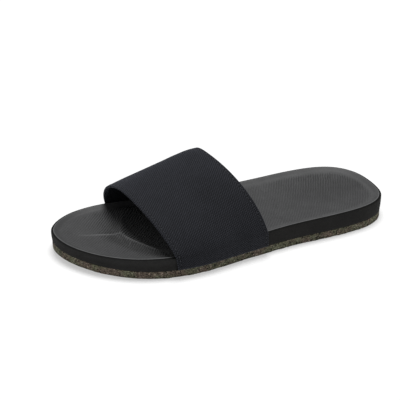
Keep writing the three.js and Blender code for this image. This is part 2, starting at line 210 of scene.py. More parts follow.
def new_mesh(name, grid, uv=None, **fields):
    """Mesh of quads through a grid of points, whose second direction closes on itself. uv maps its
    cloth, and each field gives every point a value for the material."""
    rows, around = grid.shape[:2]
    number = np.arange(rows * around).reshape(rows, around)
    number = np.concatenate([number, number[:, :1]], axis=1)
    corners = [number[:-1, :-1], number[:-1, 1:], number[1:, 1:], number[1:, :-1]]
    quads = np.stack(corners, axis=-1).reshape(-1, 4)
    mesh = bpy.data.meshes.new(name)
    mesh.from_pydata(grid.reshape(-1, 3).tolist(), [], quads.tolist())
    if uv is not None:
        layer = mesh.uv_layers.new(name="cloth")
        layer.uv.foreach_set("vector", uv.reshape(-1, 2)[quads.ravel()].astype(np.float32).ravel())
    for field, values in fields.items():
        mesh.attributes.new(field, "FLOAT", "POINT").data.foreach_set("value", values.ravel())
    return welded(mesh, WELD)


def new_piece(name, mesh, finish, slot, *nodes):
    """Object of the mesh in its finish, riding on the sandal and standing for CAD nodes."""
    piece = bpy.data.objects.new(name, mesh)
    bpy.context.scene.collection.objects.link(piece)
    mesh.materials.append(finish)
    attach(piece, "root")
    if nodes:
        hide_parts(*nodes)
    return piece


def feed(socket, value):
    """Links a socket to another, or sets its value."""
    if isinstance(value, bpy.types.NodeSocket):
        socket.id_data.links.new(value, socket)
    else:
        socket.default_value = value


def new_finish(name, **sockets):
    """Material whose shader has the given socket values, and a function that adds nodes to it."""
    material = bpy.data.materials.new(name)
    material.use_nodes = True
    tree = material.node_tree
    shader = tree.nodes["Principled BSDF"]
    for socket, value in sockets.items():
        feed(shader.inputs[socket.replace("_", " ")], value)

    def node(kind, output, settings=(), **values):
        """Adds a node and gives one of its outputs. _0, _1 and so on are sockets by number."""
        made = tree.nodes.new("ShaderNode" + kind)
        for key, value in dict(settings).items():
            setattr(made, key, value)
        for socket, value in values.items():
            place = int(socket[1:]) if socket[1:].isdigit() else socket.replace("_", " ")
            feed(made.inputs[place], value)
        return made.outputs[output]

    return material, shader, node


def ramp(node, share, stops, interpolation="LINEAR"):
    """Colour ramp over share, through (place, colour) stops."""
    colour = node("ValToRGB", "Color", Fac=share)
    scale = colour.node.color_ramp
    scale.interpolation = interpolation
    while len(scale.elements) < len(stops):
        scale.elements.new(0.5)
    for element, (place, tone) in zip(scale.elements, stops):
        element.position = place
        element.color = (*tone, 1)
    return colour


def outsole_grid():
    """Sections across the sole from the heel to the toe. Each runs down the lateral wall, across the
    tread, up the medial wall and back under the midsole. The walls are bitten by granule-sized noise,
    and larger lumps are broken from the lower edge. Beside it, how much painted shade each point gets,
    in the chips and lumps low on the wall."""
    ribs = int((LENGTH - TREAD_PITCH) / TREAD_PITCH)
    grooves = (np.arange(ribs) - (ribs - 1) / 2) * TREAD_PITCH
    wide, narrow = TREAD_GROOVE / 2, TREAD_GROOVE / 2 - TREAD_DRAFT
    edges = (grooves[:, None] + np.array([-wide, -narrow, narrow, wide])).ravel()
    turns = np.concatenate([np.linspace(0, np.pi, OUTSOLE_ROWS), turn_of(edges / LENGTH + 0.5)])
    turns = np.unique(np.round(turns, 6))[:, None]
    y = -np.cos(turns) * LENGTH / 2
    from_groove = np.abs(y - grooves).min(axis=1, keepdims=True)
    groove = TREAD_DEPTH * np.clip((wide - from_groove) / TREAD_DRAFT, 0, 1)
    up = np.linspace(0, 1, WALL_STEPS)[None, :]
    walls, chip_shades = [], []
    for turn in (2 * np.pi - turns, turns):
        inset = TREAD_INSET + (FOOT_INSET - TREAD_INSET) * up
        x, y_wall = outline(turn, inset)
        wall = np.stack([x, y_wall, ground(y) + up * OUTSOLE_THICKNESS], axis=-1)
        coarse = granules(wall, CHUNK, 11)
        fine = granules(wall, CRUMB, 47)
        bite = EDGE_BITE * (0.6 * coarse + 0.4 * fine) * ease(1.0, 0.8, up)
        x, y_wall = outline(turn, inset + bite)
        lump = ease(0.45, 0.8, granules(wall * (1, 1, 0), LUMP, 83))
        chip = (CHIP_DEPTH * ease(0.45, 0.95, fine) + LUMP_DEPTH * lump) * (1 - up) ** 3
        walls.append(np.stack([x, y_wall, wall[..., 2] + chip], axis=-1))
        # Painted shade: darker in chips and lumps, fading out a little above the floor.
        dark = np.maximum(ease(0.4, 0.65, 0.5 * fine + 0.5 * coarse), LUMP_SHADE_TONE * lump)
        chip_shades.append(dark * ease(0.28, 0.0, up))
    lateral, medial = walls
    across = ease(0, 1, np.linspace(0, 1, TREAD_STEPS))[None, 1:-1, None]
    tread = lateral[:, :1] + (medial[:, :1] - lateral[:, :1]) * across
    from_edge = np.minimum(tread[..., 0] - lateral[:, :1, 0], medial[:, :1, 0] - tread[..., 0])
    tread[..., 2] = ground(y) + groove * ease(0.4 * TREAD_BORDER, TREAD_BORDER, from_edge)
    back = np.linspace(1, 0, TOP_STEPS)[None, 1:-1, None]
    top = lateral[:, -1:] + (medial[:, -1:] - lateral[:, -1:]) * back
    chip_shade_parts = [chip_shades[0][:, ::-1], 0 * tread[..., 2], chip_shades[1], 0 * top[..., 2]]
    return np.concatenate([lateral[:, ::-1], tread, medial, top], axis=1), np.concatenate(chip_shade_parts, axis=1)


def crumb_finish():
    """Granules as cells of one colour from the list, some of them made of smaller specks, under a tint
    in wide patches. Chips and lumps low on the edge get painted shade, and the cells stand up from their
    joints."""
    material, shader, node = new_finish("crumb rubber", Roughness=0.92, Specular_IOR_Level=0.2)
    place = node("TexCoord", "Object")
    large = node("TexVoronoi", "Color", Vector=place, Scale=1 / GRANULE)
    pick = node("SeparateColor", "Red", Color=large)
    colour = ramp(node, pick, CRUMB_COLOURS, "CONSTANT")
    small = node("TexVoronoi", "Color", Vector=place, Scale=SPECKS_PER_GRANULE / GRANULE)
    speck = node("SeparateColor", "Green", Color=small)
    speck_colour = ramp(node, speck, CRUMB_COLOURS, "CONSTANT")
    draw = node("SeparateColor", "Blue", Color=large)
    share = node("Math", "Value", {"operation": "GREATER_THAN"}, _0=draw, _1=WHOLE_SHARE)
    mixed = node("Mix", 2, {"data_type": "RGBA"}, _0=share, _6=colour, _7=speck_colour)
    patch = node("TexNoise", 0, Vector=place, Scale=1 / PATCH, Detail=1.0)
    tint = ramp(node, patch, [(0.4, OLIVE_TINT), (0.62, BROWN_TINT)])
    tinted = node("Mix", 2, {"data_type": "RGBA", "blend_type": "MULTIPLY"}, _0=1.0, _6=mixed, _7=tint)
    # Painted shade: the chip field darkens the crumb towards the chip tone.
    chip = node("Attribute", "Fac", {"attribute_name": "chip"})
    shade = node("MapRange", "Result", _0=chip, _3=1.0, _4=CHIP_SHADE_TONE)
    feed(shader.inputs["Base Color"], node("VectorMath", "Vector", {"operation": "SCALE"}, _0=tinted,
                                           Scale=shade))
    joint = node("TexVoronoi", "Distance", {"feature": "DISTANCE_TO_EDGE"}, Vector=place,
                 Scale=1 / GRANULE)
    grain = node("TexNoise", 0, Vector=place, Scale=2 / GRANULE, Detail=4.0)
    height = node("Math", "Value", {"operation": "MULTIPLY_ADD"}, _0=joint, _1=0.5, _2=grain)
    feed(shader.inputs["Normal"], node("Bump", "Normal", Height=height, Distance=GRAIN_DEPTH,
                                       Strength=0.8))
    return material


outsole_points, outsole_chip_shade = outsole_grid()
new_piece("outsole_crumb", new_mesh("outsole_crumb", outsole_points, chip=outsole_chip_shade),
          crumb_finish(), "crumb_rubber", "outsole")

# Midsole
# A block of black moulded foam with a smooth skin, cemented to the outsole. Its side tapers a little
# towards the floor, and a narrow rounded lip stands round the seat for the footbed.
MIDSOLE_HEIGHT = 13.6 * MM
GLUE_LINE = 0.3 * MM
RIM_ROUND = 1.2 * MM
SEAT_INSET = 1.5 * MM
RIM_WIDTH = 7 * MM
RIM_DROP = 2 * MM
FOOTBED_THICKNESS = 2.5 * MM
HEEL_CUP = 3.2 * MM
SPINE_SHARE = 0.72
WALL_BULGE = 0.18 * MM
TUCK_DEPTH = 12 * MM
SLOT_DRAFT = 0.6 * MM
STRAP_THICKNESS = 2.2 * MM
MIDSOLE_STEPS = 900
WALL_RINGS = 9
# Darkest tone of the painted shade.
PAINTED_SHADE_TONE = 0.22
SKIN_DEPTH = 0.05 * MM
CLOUDS_PER_METRE = 90.0
GRAINS_PER_METRE = 650.0
PORES_PER_METRE = 1400.0
PALEST, DARKEST = 1.22, 0.78
WALL_BLACK = (0.0165, 0.0162, 0.0156)
# Painted light: the paler black that the lip and the upper wall take on at the toes' end, as if lit from
# above.
TOP_LIT_BLACK = (0.0220, 0.0218, 0.0213)

# Hollow of the footbed below its own edge, as shares of the heel cup's depth.
Hollow = namedtuple("Hollow", "along depth")
HOLLOW = [
    Hollow(0.0, 0.75),
    Hollow(0.15, 1.0),
    Hollow(0.35, 0.8),
    Hollow(0.52, 0.45),
    Hollow(0.68, 0.7),
    Hollow(0.85, 0.35),
    Hollow(1.0, 0.25),
]

# The strap from its front edge to its rear edge: where it leaves each side of the sole, the height
# and place of its top, the powers of its two quarter arches, and how far arch and sides lean forward.
Band = namedtuple(
    "Band", "lateral medial rise crown lateral_shoulder medial_shoulder arch_lean side_lean")
STRAP = [
    Band(0.727, 0.797, 0.645, 0.6, 1.64, 1.78, 0.26, 0.18),
    Band(0.581, 0.6515, 0.835, 0.72, 1.76, 2.15, 0.275, 0.13),
    Band(0.435, 0.506, 1.025, 0.72, 2.19, 2.5, 0.29, 0.06),
]


def outsole_top(y):
    """Height of the slab's upper face: its thickness over the tread's plane."""
    return ground(y) + OUTSOLE_THICKNESS


def midsole_foot(y):
    """Height of the midsole's underside, a glue line over the slab."""
    return outsole_top(y) + GLUE_LINE


def across_at(x, y):
    """-1 at the lateral rim and +1 at the medial rim."""
    turn = turn_of(y / LENGTH + 0.5)
    half = BALL_WIDTH * outline_value("fullness", turn) * np.sin(turn) / 2
    return np.clip((x - middle_of(y / LENGTH + 0.5)) / np.maximum(half, MM), -1, 1)


def rim_height(x, y):
    """Plane of the rim over a point, tilted from the lateral to the medial rim."""
    turn = turn_of(y / LENGTH + 0.5)
    medial, lateral = outline_value("medial_rim", turn), outline_value("lateral_rim", turn)
    share = (across_at(x, y) + 1) / 2
    return outsole_top(y) + MIDSOLE_HEIGHT * (lateral + (medial - lateral) * share)


def hollow_height(x, y, reach):
    """Bowl of the footbed: level with the rim's inner edge at reach 1, deepest at reach 0."""
    depth = HEEL_CUP * smooth(column(HOLLOW, "along"), column(HOLLOW, "depth"), y / LENGTH + 0.5)
    return rim_height(x, y) - RIM_DROP - depth * (1 - reach**2.5)


def inward_ring(turn, inset, reach, height):
    """Ring between the line down the sole's middle, reach 0, and the outline's inset, reach 1."""
    x, y = outline(turn, inset)
    along = 0.5 - np.cos(turn) * SPINE_SHARE / 2
    x = middle_of(along) + (x - middle_of(along)) * reach
    y = (along - 0.5) * LENGTH
    y = y + (outline(turn, inset)[1] - y) * reach
    return np.stack([x, y, height(x, y, reach)], axis=-1)


def strap_value(name, place):
    """Parabola through a column of the strap table, 0 at the front edge and 1 at the rear."""
    front, middle, rear = column(STRAP, name)
    bend = 2 * (front + rear) - 4 * middle
    return front + (rear - front - bend) * place + bend * place**2


def beside_wall(side, place, out, height):
    """Point beside the midsole's wall: out from it, and a negative height above its rim."""
    along = strap_value(side, place) + strap_value("side_lean", place) * height / LENGTH
    turn = turn_of(along) if side == "medial" else 2 * np.pi - turn_of(along)
    rim_x, rim_y = outline(turn)
    high = rim_height(rim_x, rim_y)
    taper = FOOT_INSET * -height / (high - midsole_foot(rim_y))
    x, y = outline(turn, taper - out)
    return np.stack([x, y, high + height], axis=-1)


def leg_height(side, place):
    """The midsole's foot below the rim, at a side of the strap."""
    top = beside_wall(side, place, 0 * place, 0 * place)
    return midsole_foot(top[..., 1]) - top[..., 2]


def tuck_recess(turn, y):
    """1 under the strap's two ends and 0 elsewhere, with edges a glue line off the strap."""
    inside = np.zeros_like(turn)
    for side, here in (("medial", turn < np.pi), ("lateral", turn >= np.pi)):
        ends = [beside_wall(side, place, 0.0, leg_height(side, place))[1]
                for place in (np.float64(1), np.float64(0))]
        rear, front = ends[0] - GLUE_LINE, ends[1] + GLUE_LINE
        slot = ease(rear - SLOT_DRAFT, rear, y) * ease(front + SLOT_DRAFT, front, y)
        inside = np.where(here, slot, inside)
    return inside


def rim_drop(inset):
    """Depth of the footbed's rim below its own plane, from the bead at its edge to the hollow."""
    return RIM_DROP * (0.3 * ease(2.2 * MM, RIM_WIDTH, inset) + 0.7 * ease(1.5 * MM, 7.6 * MM, inset))


def midsole_grid():
    """Rings round the sole: out along the underside, up the tapered wall, over the rounded lip, down
    inside it and in along the footbed's seat. Beside it, how much painted light each point gets, high on
    the wall and on the lip at the toes' end, and how much painted shade, a shadow line on the lip beside
    the footbed."""
    turn = np.linspace(0, 2 * np.pi, MIDSOLE_STEPS, endpoint=False)
    lift = (STRAP_THICKNESS + GLUE_LINE) * tuck_recess(turn, outline(turn, FOOT_INSET)[1])
    # Share of painted light, growing towards the toes' end.
    fore = ease(-20 * MM, 60 * MM, outline(turn)[1])
    rings, fields = [], []

    def add(points, worn=0, sunk=0):
        """Adds a ring of points with its two fields."""
        rings.append(points)
        fields.append([np.broadcast_to(field, turn.shape) for field in (worn, sunk)])

    def ring(inset, height, worn=0, sunk=0):
        """Adds the outline moved in by inset, at the height that height(x, y) gives."""
        x, y = outline(turn, inset)
        add(np.stack([x, y, height(x, y)], axis=-1), worn, sunk)

    def wall_height(x, y, up):
        """Height on the wall, from its foot at up 0 to the lip's lower edge at up 1."""
        return midsole_foot(y) + lift + (rim_height(x, y) - RIM_ROUND - midsole_foot(y) - lift) * up

    deep = TUCK_DEPTH + 2 * GLUE_LINE
    for reach in (0, 0.5):
        add(inward_ring(turn, deep, reach, lambda x, y, _: midsole_foot(y)))
    ring(deep, lambda x, y: midsole_foot(y))
    ring(TUCK_DEPTH + GLUE_LINE, lambda x, y: midsole_foot(y) + lift)
    # Painted light: the upper wall is paler towards the toes' end.
    for up in np.linspace(0, 1, WALL_RINGS):
        ring(FOOT_INSET * (1 - up) - WALL_BULGE * np.sin(np.pi * up),
             lambda x, y: wall_height(x, y, up), fore * ease(0.35, 0.8, up))
    # Painted shadow line: the lip darkens towards the seat beside the footbed. At the toes' end it is also
    # paler with painted light.
    for angle in np.radians((18, 36, 54, 72, 90)):
        ring(RIM_ROUND * (1 - np.cos(angle)),
             lambda x, y: rim_height(x, y) - RIM_ROUND * (1 - np.sin(angle)),
             fore, ease(0.2, 0.8, np.sin(angle)))
    depth = FOOTBED_THICKNESS + GLUE_LINE
    # Painted shadow: full shade on the seat's edge beside the footbed.
    ring(SEAT_INSET, rim_height, 0, 1)
    for inset in (SEAT_INSET, 3 * MM, 5 * MM):
        ring(inset, lambda x, y: rim_height(x, y) - rim_drop(inset) - depth)
    for reach in (1, 0.7, 0.35, 0):
        add(inward_ring(turn, RIM_WIDTH, reach, lambda x, y, r: hollow_height(x, y, r) - depth))
    return np.array(rings), np.moveaxis(np.array(fields), 1, 0)


def foam_finish(name, plain, worn, roughness, specular, ridges=None, ridge_height=0.0):
    """Moulded foam: a fine leathery skin with faint clouds in its colour. It turns to the paler colour of
    painted light where its field of painted light is high, and darker with painted shade where its
    field sunk is. ridges makes waves that rise from the skin by ridge_height, with painted light on
    their crests and painted shade in their valleys."""
    material, shader, node = new_finish(name, Specular_IOR_Level=specular)
    place = node("TexCoord", "Object")
    # Painted light: where this field is high, the colour turns to the paler painted-light colour.
    painted_light_share = node("Attribute", "Fac", {"attribute_name": "worn"})
    cloud = node("TexNoise", 0, Vector=place, Scale=CLOUDS_PER_METRE, Detail=3.0)
    grain = node("TexNoise", 0, Vector=place, Scale=GRAINS_PER_METRE, Detail=3.0, Roughness=0.7)
    spots = node("Math", "Value", {"operation": "MULTIPLY_ADD"}, _0=grain, _1=1.6, _2=cloud)
    shade = node("MapRange", "Result", _0=spots, _1=0.9, _2=1.7, _3=DARKEST, _4=PALEST)
    colour = node("Mix", 2, {"data_type": "RGBA"}, _0=painted_light_share, _6=(*plain, 1), _7=(*worn, 1))
    skin = node("TexNoise", 0, Vector=place, Scale=PORES_PER_METRE, Detail=3.0)
    height = skin
    # Painted shade: the field sunk darkens the colour towards the darkest shade tone.
    sunk = node("Attribute", "Fac", {"attribute_name": "sunk"})
    # Painted light and shade: the ridge wave is taken off sunk, so the ridges are paler on their crests and
    # darker in their valleys.
    if ridges:
        wave = ridges(node, place)
        sunk = node("Math", "Value", {"operation": "SUBTRACT"}, _0=sunk, _1=wave)
        height = node("Math", "Value", {"operation": "MULTIPLY_ADD"}, _0=wave,
                      _1=ridge_height / SKIN_DEPTH, _2=skin)
    dark = node("MapRange", "Result", _0=sunk, _3=1.0, _4=PAINTED_SHADE_TONE)
    shade = node("Math", "Value", {"operation": "MULTIPLY"}, _0=shade, _1=dark)
    toned = node("VectorMath", "Vector", {"operation": "SCALE"}, _0=colour, Scale=shade)
    feed(shader.inputs["Base Color"], toned)
    feed(shader.inputs["Roughness"], node("MapRange", "Result", _0=skin, _3=roughness - 0.06,
                                          _4=roughness + 0.06))
    feed(shader.inputs["Normal"], node("Bump", "Normal", Height=height, Distance=SKIN_DEPTH,
                                       Strength=0.9))
    return material


midsole_points, (midsole_painted_light, midsole_painted_shade) = midsole_grid()
midsole_mesh = new_mesh("midsole_foam", midsole_points, worn=midsole_painted_light, sunk=midsole_painted_shade)
new_piece("midsole_foam", midsole_mesh,
          foam_finish("black foam", WALL_BLACK, TOP_LIT_BLACK, 0.8, 0.08), "foam_black", "midsole")

# Footbed
# A thin layer of dark grey moulded foam laid into the midsole's seat, with a smooth bead and rim. It
# has a heel cup, a raised chevron under the toes with a low divider beside the big toe, and fine
# slanting ridges all over.
FOOTBED_GAP = 0.2 * MM
BEAD_ROUND = 0.45 * MM
BEAD_PROUD = 0.15 * MM
# Painted highlight: how much paler the bead, the heel's rim, the crest and the divider are painted.
BEAD_HIGHLIGHT = 0.85
HEEL_RIM_HIGHLIGHT = 0.3
LATERAL_CREST_HIGHLIGHT = 0.8
MEDIAL_CREST_HIGHLIGHT = 0.15
DIVIDER_HIGHLIGHT = 0.7
# Painted shade: darker in front of the toe ridge, under the strap's edge, and in the middle of the heel's
# hollow.
TOE_SHADE = 0.6
TOE_SHADE_SPREAD = 7 * MM
HEEL_SHADE = 0.24
HEEL_SHADE_MIDDLE, HEEL_SHADE_SPREAD = 0.15, 0.45
TOE_RIDGE_HEIGHT = 2.1 * MM
TOE_RIDGE_FRONT = 12 * MM
TOE_RIDGE_BACK = 9 * MM
CREST_ROUND = 0.7 * MM
# Width of the painted highlight along the crest and the divider.
CREST_HIGHLIGHT_WIDTH = 1.3 * MM
TOE_DIVIDER_HEIGHT = 1.1 * MM
TOE_DIVIDER_WIDTH = 4 * MM
TOE_DIVIDER_END = 0.93
TOE_DIVIDER_LEAN = 0.36
RIDGE_PITCH = 2.1 * MM
RIDGE_HEIGHT = 0.55 * MM
RIDGE_SWAY = 7.0
CREST_RIDGES = 1.5
CREST_RIDGES_BEHIND = 8 * MM
CREST_RIDGES_SPREAD = 20 * MM
MEDIAL_TOE_RIDGES = 0.8
HEEL_RIDGES = 0.4
PLAIN_RIDGES = 0.3
RIDGE_CENTRE = (257 * MM, 370 * MM, 0)
FOOTBED_STEPS = 720
FOOTBED_RINGS = 84
FOOTBED_GREY = (0.049, 0.0495, 0.051)
# Colour of the painted highlight.
HIGHLIGHT_GREY = (0.110, 0.111, 0.113)

# Crest of the toe ridge, a chevron that sweeps back on both sides: across is -1 at the lateral rim.
Crest = namedtuple("Crest", "across along")
TOE_RIDGE = [
    Crest(-1.0, 0.718),
    Crest(-0.5, 0.773),
    Crest(-0.03, 0.812),
    Crest(0.5, 0.777),
    Crest(1.0, 0.738),
]


def toe_relief(x, y):
    """Ridge that falls off on both sides of its crest, and a divider that fades towards the toe. Beside
    their height, how far each point lies ahead of the crest, and how much painted highlight lies along the
    two lines."""
    across = across_at(x, y)
    crest = smooth(column(TOE_RIDGE, "across"), column(TOE_RIDGE, "along"), across)
    ahead = y - (crest - 0.5) * LENGTH
    reach = np.where(ahead > 0, TOE_RIDGE_FRONT, TOE_RIDGE_BACK)
    fall = (np.hypot(ahead, CREST_ROUND) - CREST_ROUND) / reach
    ridge = TOE_RIDGE_HEIGHT * np.maximum(1 - fall, 0) ** np.where(ahead > 0, 2.0, 1.5)
    apex = TOE_RIDGE[2].along
    lean = TOE_DIVIDER_LEAN * (y - (apex - 0.5) * LENGTH)
    side = (x - middle_of(np.float64(apex)) - lean) / TOE_DIVIDER_WIDTH
    way = (y / LENGTH + 0.5 - apex) / (TOE_DIVIDER_END - apex)
    fades = np.where((way > 0) & (way < 1), 1 - way, 0)
    divider = TOE_DIVIDER_HEIGHT * np.exp(-1.2 * np.abs(side)) * fades
    # Painted highlight along the divider, and below along the crest, lateral more than medial.
    divider_light = DIVIDER_HIGHLIGHT * np.exp(-((side * TOE_DIVIDER_WIDTH / CREST_HIGHLIGHT_WIDTH) ** 2)) * np.sqrt(fades)
    medial = ease(-0.25, 0.15, across)
    crest_light = LATERAL_CREST_HIGHLIGHT + (MEDIAL_CREST_HIGHLIGHT - LATERAL_CREST_HIGHLIGHT) * medial
    highlight = np.maximum(crest_light * np.exp(-((ahead / CREST_HIGHLIGHT_WIDTH) ** 2)), divider_light)
    return np.maximum(ridge, divider), ahead, highlight


def ridge_strength(x, y, ahead):
    """How strong the fine ridges are: most round the toe ridge, less under the big toe and on the
    heel's medial side, faint elsewhere, and uneven."""
    across = across_at(x, y)
    behind = (ahead + CREST_RIDGES_BEHIND) / CREST_RIDGES_SPREAD
    near_crest = CREST_RIDGES * np.exp(-(behind**2))
    big_toe = ease(50 * MM, 70 * MM, y) * ease(115 * MM, 90 * MM, y)
    medial_toe = MEDIAL_TOE_RIDGES * ease(-0.1, 0.5, across) * big_toe
    heel = HEEL_RIDGES * ease(0.0, 0.7, across) * ease(-50 * MM, -90 * MM, y)
    uneven = 0.6 + 0.8 * granules(np.stack([x, y, 0 * x], axis=-1), 1.5 * RIDGE_PITCH, 3)
    strongest = np.maximum(near_crest, np.maximum(medial_toe, heel))
    return (PLAIN_RIDGES + (1 - PLAIN_RIDGES) * strongest) * uneven


def fine_ridges(node, place):
    """Waves along circles round a point far ahead on the medial side, swayed by a noise, from minus to
    plus half of their strength. They raise the ridges and paint them too: painted light on their crests,
    painted shade in their valleys."""
    flat = node("VectorMath", "Vector", {"operation": "MULTIPLY"}, _0=place, _1=(1, 1, 0))
    far = node("VectorMath", "Value", {"operation": "DISTANCE"}, _0=flat, _1=RIDGE_CENTRE)
    noise = node("TexNoise", 0, Vector=place, Scale=0.35 / RIDGE_PITCH, Detail=3.0)
    sway = node("Math", "Value", {"operation": "MULTIPLY"}, _0=noise, _1=RIDGE_SWAY)
    turns = node("Math", "Value", {"operation": "MULTIPLY_ADD"}, _0=far, _1=2 * np.pi / RIDGE_PITCH,
                 _2=sway)
    wave = node("Math", "Value", {"operation": "COSINE"}, _0=turns)
    strength = node("Attribute", "Fac", {"attribute_name": "ridged"})
    half = node("Math", "Value", {"operation": "MULTIPLY"}, _0=wave, _1=0.5)
    return node("Math", "Value", {"operation": "MULTIPLY"}, _0=half, _1=strength)


def footbed_grid():
    """Rings out along the flat underside, up the thin edge, over its bead, down the rim and in over
    the moulded top. Beside it, how much painted highlight each point gets, on the bead, the rim towards
    the heel and the crest, how much painted shade, in front of the crest and in the heel's hollow, and
    how strong its fine ridges are."""
    turn = np.linspace(0, 2 * np.pi, FOOTBED_STEPS, endpoint=False)
    edge = SEAT_INSET + FOOTBED_GAP
    rings, fields = [], []

    def add(points, worn, sunk=0.5, ridged=0):
        """Adds a ring of points with its three fields."""
        rings.append(points)
        fields.append([np.broadcast_to(field, turn.shape) for field in (worn, sunk, ridged)])

    def rim_ring(inset, drop, worn, sunk=0.5):
        """Adds the outline moved in by inset, at drop below the plane of the rim."""
        x, y = outline(turn, inset)
        add(np.stack([x, y, rim_height(x, y) - drop], axis=-1), worn, sunk)

    for reach in (0, 0.5, 1):
        add(inward_ring(turn, RIM_WIDTH, reach, lambda x, y, r: hollow_height(x, y, r)
                        - FOOTBED_THICKNESS), 0)
    for inset in (5 * MM, 3 * MM, edge):
        rim_ring(inset, rim_drop(inset) + FOOTBED_THICKNESS, 0)
    # The bead is painted paler as a highlight, with less painted shade.
    for angle in np.radians((0, 30, 60, 90)):
        rim_ring(edge + BEAD_ROUND * (1 - np.cos(angle)),
                 BEAD_ROUND * (1 - np.sin(angle)) - BEAD_PROUD, BEAD_HIGHLIGHT, 0.25)
    y = outline(turn, RIM_WIDTH)[1]
    # Painted highlight on the rim towards the heel.
    rim_highlight = HEEL_RIM_HIGHLIGHT * ease(20 * MM, -60 * MM, y)
    for inset in np.linspace(edge + 2 * BEAD_ROUND, RIM_WIDTH, 8)[:-1]:
        proud = BEAD_PROUD * ease(3.5 * MM, 2 * MM, inset)
        rim_ring(inset, rim_drop(inset) - proud, rim_highlight)
    for reach in np.linspace(1, 0, FOOTBED_RINGS):
        x, y, plain = np.moveaxis(inward_ring(turn, RIM_WIDTH, reach, hollow_height), -1, 0)
        relief, ahead, crest = toe_relief(x, y)
        inside = ease(1.0, 0.86, reach)
        across = across_at(x, y)
        # Painted shade in front of the crest and in the heel's hollow.
        toes = np.exp(-((ahead / TOE_SHADE_SPREAD - 1) ** 2)) * ease(0.9, -0.3, across)
        heel = np.exp(-(((across - HEEL_SHADE_MIDDLE) / HEEL_SHADE_SPREAD) ** 2))
        heel = heel * ease(-30 * MM, -115 * MM, y)
        shade_patches = inside * (TOE_SHADE * toes + HEEL_SHADE * heel)
        # Painted highlight on the crest and the heel's rim, and painted shade in front of the crest and in
        # the heel.
        add(np.stack([x, y, plain + relief * inside], axis=-1),
            np.maximum(rim_highlight * ease(0.86, 1.0, reach), crest * inside),
            0.5 * (1 - crest) + shade_patches,
            ridge_strength(x, y, ahead) * ease(1.0, 0.9, reach) * (1 - 0.85 * crest))
    return np.array(rings), np.moveaxis(np.array(fields), 1, 0)


footbed_points, (footbed_painted_light, footbed_painted_shade, footbed_ridged) = footbed_grid()
footbed_mesh = new_mesh("footbed_moulded", footbed_points, worn=footbed_painted_light, sunk=footbed_painted_shade,
                        ridged=footbed_ridged)
new_piece("footbed_moulded", footbed_mesh,
          foam_finish("grey foam", FOOTBED_GREY, HIGHLIGHT_GREY, 0.6, 0.3, fine_ridges, RIDGE_HEIGHT),
          "foam_grey", "footbed")

# Strap
# One broad band of navy black woven canvas over a soft filling, its front and rear edges folded in
# and topstitched. Its ends run down the midsole's sides and are cemented under it.
STRAP_RISE = 48.6 * MM
STRAP_WIDTH = 84 * MM
HEM_START = 0.84
HEM_DROP = 1.6 * MM
COVER_THICKNESS = 2.1 * MM
LIP_WIDTH = 1.2 * MM
LIP_DIP = 0.15 * MM
LIP_SPREAD = 0.3 * MM
HEM_WIDTH = 2.7 * MM
HEM_BULGE = 0.12 * MM
SEAM_DIP = 0.22 * MM
SEAM_SPREAD = 0.7 * MM
# Painted shade: the cloth's darkest tone in the stitched dip along each hem.
SEAM_SHADE_TONE = 0.5
TUCK_STEPS = 7
CORNER_STEPS = 8
CLIMB_STEPS = 14
ARCH_STEPS = 150
RELAXED_STEPS = 4.0
FREE_STEPS = 14
BAND_STEPS = 72
HEM_STEPS = 6
HEM_ROWS = np.array([0.5, 0.8, 1.05, 1.25, 1.45, 1.7, 2.0, 2.35, 2.7, 3.05, 3.4, 3.9, 4.5, 5.3]) * MM
FOLD_ROUND = 0.5 * MM
FOLD_STEPS = 9
YARN = 1.05 * MM
WEAVE_DEPTH = 0.2 * MM
RUB_PATCH = 9 * MM
RUBBED_CONTRAST, CRISP_CONTRAST = 0.45, 1.7
WEFT_NAVY = (0.0022, 0.0024, 0.0033)
WARP_NAVY = (0.0185, 0.0193, 0.0238)
NAP_TINT = (0.62, 0.68, 0.85, 1)

# Soft troughs and ridges of the worn-in band. place and girth are where each one starts and ends, as
# shares of the band's width and of its way over the foot, and height is below 0 for a trough.
Crease = namedtuple("Crease", "place girth end_place end_girth spread height")
CREASES = [
    Crease(0.10, 0.20, 0.55, 0.34, 7 * MM, -0.30 * MM),
    Crease(0.05, 0.78, 0.60, 0.66, 8 * MM, -0.30 * MM),
    Crease(0.45, 0.50, 0.95, 0.58, 10 * MM, 0.25 * MM),
    Crease(0.00, 0.14, 1.00, 0.13, 5 * MM, -0.25 * MM),
    Crease(0.00, 0.86, 1.00, 0.87, 5 * MM, -0.25 * MM),
]


def strap_leg(side, place):
    """Outer face from the tucked end, round the bottom edge and up the midsole's wall."""
    tuck = np.linspace(TUCK_DEPTH, 0.5 * MM, TUCK_STEPS)
    corner = np.radians(np.linspace(0, 90, CORNER_STEPS))
    climb = np.linspace(0.1, 0.96, CLIMB_STEPS)
    face = GLUE_LINE + STRAP_THICKNESS
    out = np.concatenate([-tuck, GLUE_LINE + STRAP_THICKNESS * np.sin(corner), face + 0 * climb])
    below = np.concatenate([1 + 0 * tuck, np.cos(corner), 0 * climb]) * STRAP_THICKNESS
    share = np.concatenate([1 + 0 * tuck, 1 + 0 * corner, 1 - climb])
    lift = leg_height(side, place) + STRAP_THICKNESS
    return beside_wall(side, place, out[None, :], lift * share[None, :] - below[None, :])


